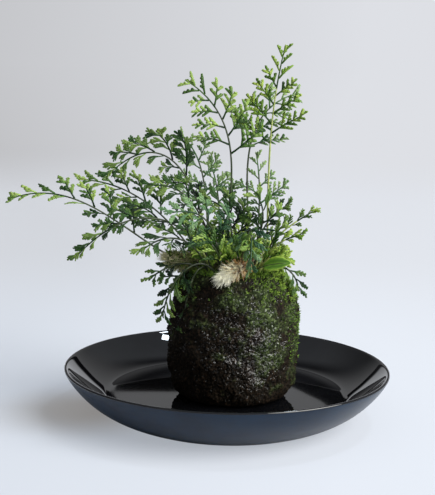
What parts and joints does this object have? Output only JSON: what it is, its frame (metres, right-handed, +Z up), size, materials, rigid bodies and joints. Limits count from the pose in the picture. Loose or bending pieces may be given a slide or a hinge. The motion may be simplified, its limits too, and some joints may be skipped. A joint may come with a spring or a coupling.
{
  "type": "kokedama moss ball plant",
  "caption": "Wet moss ball with a lacy hare's-foot fern and furry creeping stems, standing in a wide shallow glazed dish.",
  "frame": {"origin": "middle of the bottom of the bounding box, on the surface that the dish's foot ring stands on", "axes": "+Z up; the picture looks along +Y with +X to its right, and the longest frond reaches out along -X"},
  "size_m": [0.2454, 0.21, 0.2382],
  "materials": {
    "dish_glaze": "gloss",
    "peat_soil": "matte",
    "wet_moss": "satin",
    "cream_fur": "matte",
    "brown_fur": "matte",
    "leaf_dark": "satin",
    "leaf_teal": "satin",
    "leaf_green": "satin",
    "leaf_bright": "satin"
  },
  "bodies": {
    "root": {"dish": "dish_glaze", "soil_core": "peat_soil", "moss_wrap": "wet_moss", "rhizome_front": "cream_fur", "rhizome_left": "brown_fur", "rhizome_back": "brown_fur", "rhizome_bud": "cream_fur", "tall_right": "leaf_bright", "tall_left": "leaf_green", "back_right": "leaf_green", "back_sprig": "leaf_bright", "back_left_small": "leaf_bright", "back_mid": "leaf_teal", "arch_upper_left": "leaf_dark", "mid_left": "leaf_green", "long_left": "leaf_green", "droop_left": "leaf_dark", "left_inner": "leaf_dark", "front_left": "leaf_dark", "front_centre": "leaf_teal", "front_drop": "leaf_teal", "right_low": "leaf_bright", "right_low_front": "leaf_bright", "right_short": "leaf_dark", "mid_short": "leaf_dark", "centre_dark": "leaf_dark", "centre_top": "leaf_green", "centre_green": "leaf_bright", "right_mid": "leaf_green", "left_short": "leaf_green", "hang_left": "leaf_dark", "left_sprig": "leaf_dark", "right_sprig": "leaf_dark", "round_leaf": "leaf_bright"}
  },
  "joints": []
}
